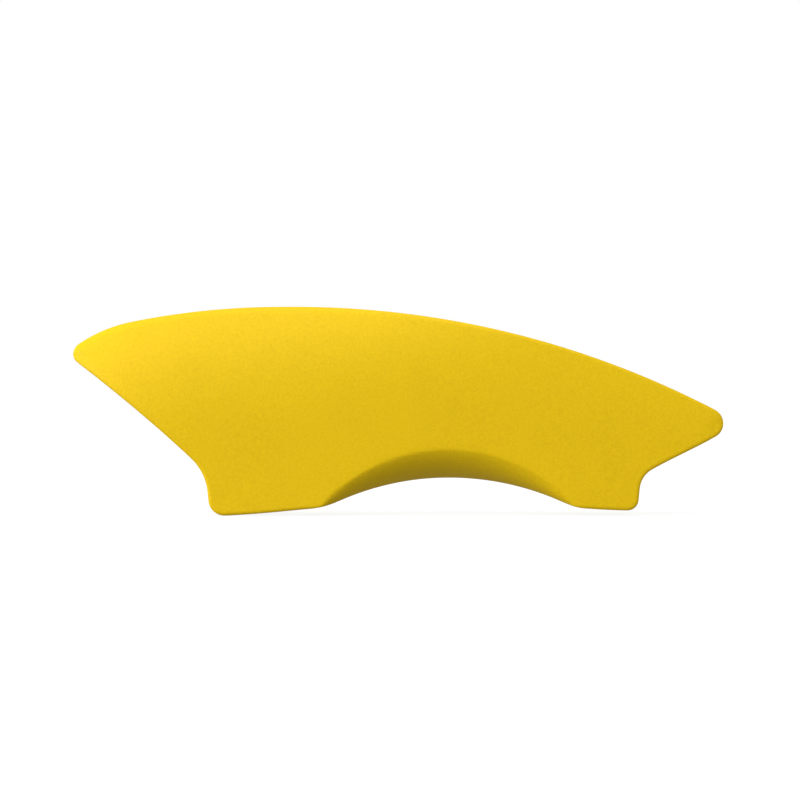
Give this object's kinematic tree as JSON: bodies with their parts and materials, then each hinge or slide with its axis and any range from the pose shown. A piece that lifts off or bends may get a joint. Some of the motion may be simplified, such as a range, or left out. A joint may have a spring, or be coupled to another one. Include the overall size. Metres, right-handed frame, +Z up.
{
  "type": "spa neck pillow",
  "caption": "Crescent-shaped moulded foam neck pillow for a bath or spa tub, with a neck recess under a long and a short wing, held on the wall by suction cups behind.",
  "frame": {"origin": "centre of the centre cup's sealing rim, on the wall's surface", "axes": "+Z up, +X along the pillow towards its short wing, +Y into the wall that the cups hold on"},
  "size_m": [0.3238, 0.0618, 0.1034],
  "materials": {
    "skin": "matte moulded polyurethane skin, yellow",
    "foam": "open-cell polyurethane foam",
    "plate": "moulded polypropylene",
    "stem": "natural nylon",
    "cup": "translucent soft elastomer"
  },
  "bodies": {
    "pillow": {"outer_skin": "skin", "foam_core": "foam", "backing_plate": "plate", "keyhole_cap_far_left": "plate", "keyhole_cap_left": "plate", "keyhole_cap_centre": "plate", "keyhole_cap_right": "plate"},
    "far_left_stem": {"cup_stem_far_left": "stem"},
    "far_left_cup": {"suction_cup_far_left": "cup"},
    "left_stem": {"cup_stem_left": "stem"},
    "left_cup": {"suction_cup_left": "cup"},
    "centre_stem": {"cup_stem_centre": "stem"},
    "centre_cup": {"suction_cup_centre": "cup"},
    "right_stem": {"cup_stem_right": "stem"},
    "right_cup": {"suction_cup_right": "cup"}
  },
  "joints": [
    {"name": "far_left_cup_swivel", "type": "hinge", "parent": "pillow", "child": "far_left_stem", "pos_m": [-0.126, 0, 0.008], "axis": [0, 1, 0], "continuous": true},
    {"name": "far_left_cup_press", "type": "slide", "parent": "far_left_stem", "child": "far_left_cup", "axis": [0, -1, 0], "range_m": [0, 0.004], "stiffness_N_per_m": 1000, "deforming": ["suction_cup_far_left"]},
    {"name": "left_cup_swivel", "type": "hinge", "parent": "pillow", "child": "left_stem", "pos_m": [-0.068, 0, -0.012], "axis": [0, 1, 0], "continuous": true},
    {"name": "left_cup_press", "type": "slide", "parent": "left_stem", "child": "left_cup", "axis": [0, -1, 0], "range_m": [0, 0.004], "stiffness_N_per_m": 1000, "deforming": ["suction_cup_left"]},
    {"name": "centre_cup_swivel", "type": "hinge", "parent": "pillow", "child": "centre_stem", "pos_m": [0, 0, 0], "axis": [0, 1, 0], "continuous": true},
    {"name": "centre_cup_press", "type": "slide", "parent": "centre_stem", "child": "centre_cup", "axis": [0, -1, 0], "range_m": [0, 0.004], "stiffness_N_per_m": 1000, "deforming": ["suction_cup_centre"]},
    {"name": "right_cup_swivel", "type": "hinge", "parent": "pillow", "child": "right_stem", "pos_m": [0.068, 0, -0.012], "axis": [0, 1, 0], "continuous": true},
    {"name": "right_cup_press", "type": "slide", "parent": "right_stem", "child": "right_cup", "axis": [0, -1, 0], "range_m": [0, 0.004], "stiffness_N_per_m": 1000, "deforming": ["suction_cup_right"]}
  ]
}
